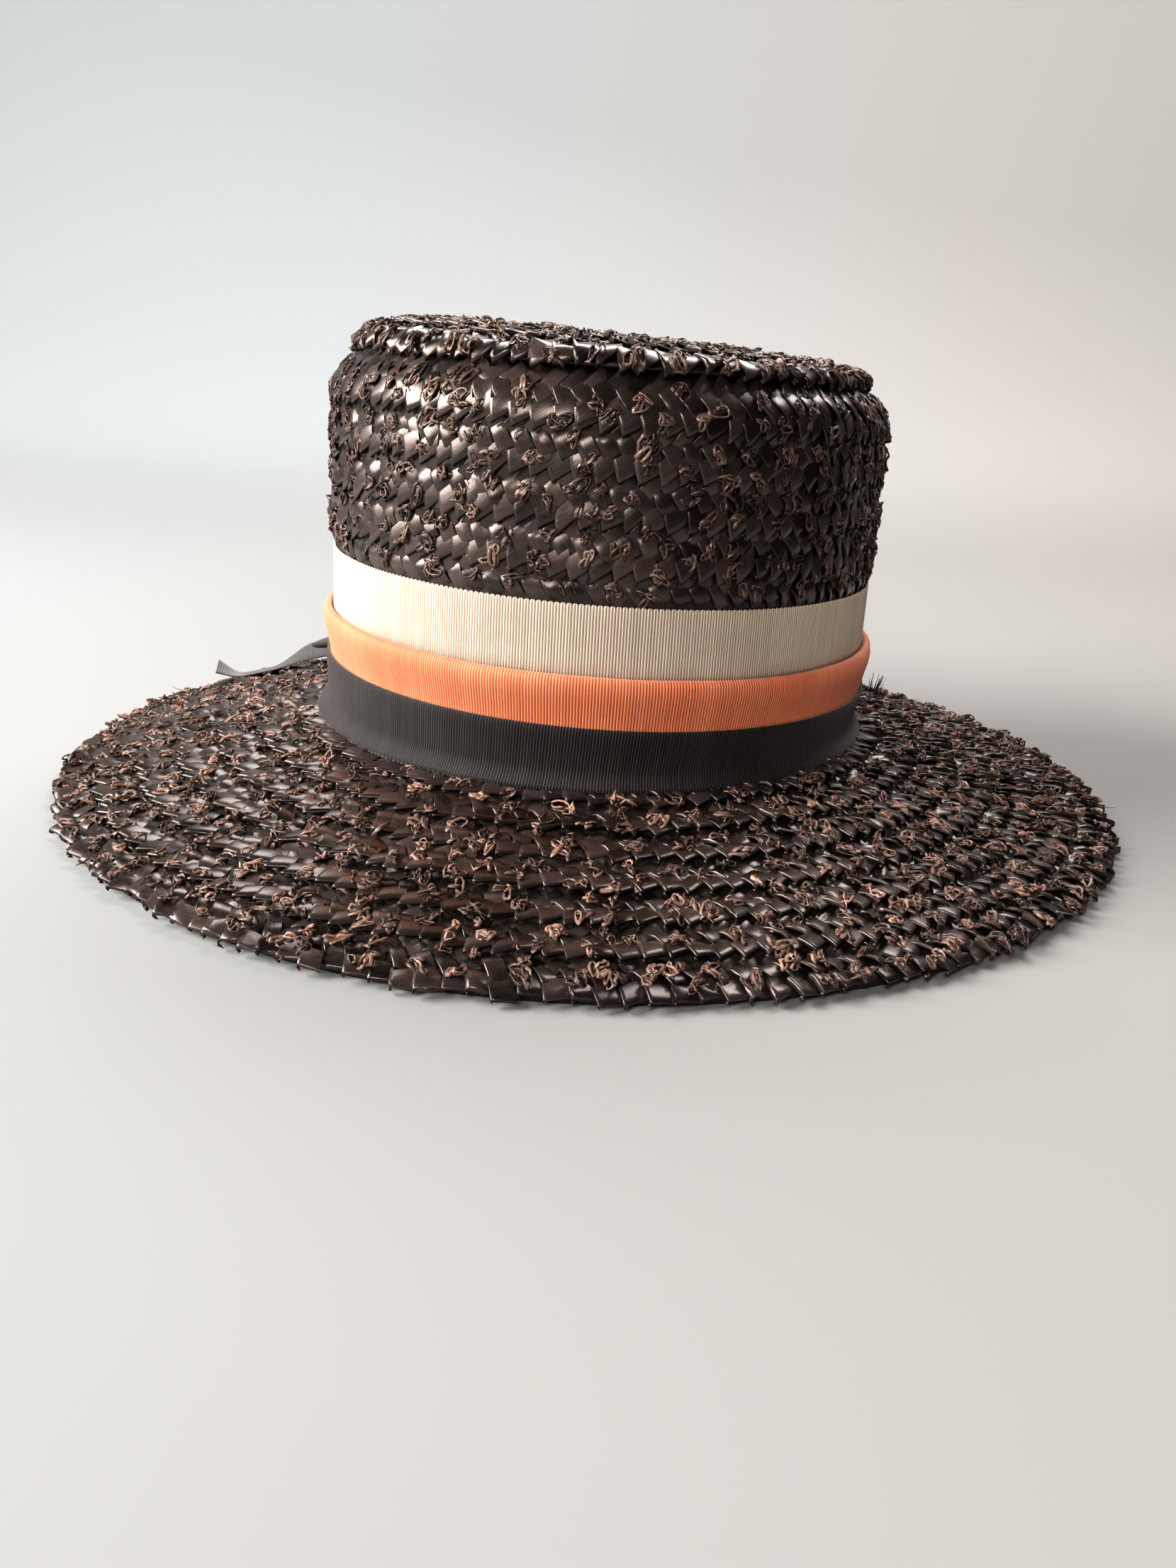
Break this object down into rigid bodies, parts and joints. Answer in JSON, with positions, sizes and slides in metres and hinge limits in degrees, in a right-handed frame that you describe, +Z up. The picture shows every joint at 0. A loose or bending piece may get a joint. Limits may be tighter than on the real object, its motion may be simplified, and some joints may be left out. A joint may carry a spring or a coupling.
{
  "type": "straw boater hat",
  "caption": "Dark braided straw hat with a flat-topped oval crown, a wide sloping brim, a band of folded grosgrain ribbons and a flat ribbon bow.",
  "frame": {"origin": "on the surface that the brim's edge stands on, under the middle of the hat's box", "axes": "+Z up through the crown, -Y towards the front, +X towards the right as seen from the front"},
  "size_m": [0.3314, 0.36, 0.1434],
  "materials": {
    "straw_braid": "glossy dark brown plaited straw with copper brown cord loops",
    "ribbon_cream": "ribbed grosgrain ribbon, ivory",
    "ribbon_coral": "ribbed grosgrain ribbon, coral orange",
    "ribbon_charcoal": "ribbed grosgrain ribbon, brownish black"
  },
  "bodies": {
    "root": {"crown_tip": "straw_braid", "crown_side": "straw_braid", "brim": "straw_braid", "ribbon_cream": "ribbon_cream", "ribbon_coral": "ribbon_coral", "ribbon_charcoal": "ribbon_charcoal", "bow_knot": "ribbon_charcoal", "bow_loop_front": "ribbon_charcoal", "bow_loop_back": "ribbon_charcoal", "bow_tail_side": "ribbon_charcoal", "bow_tail_back": "ribbon_charcoal"}
  },
  "joints": []
}
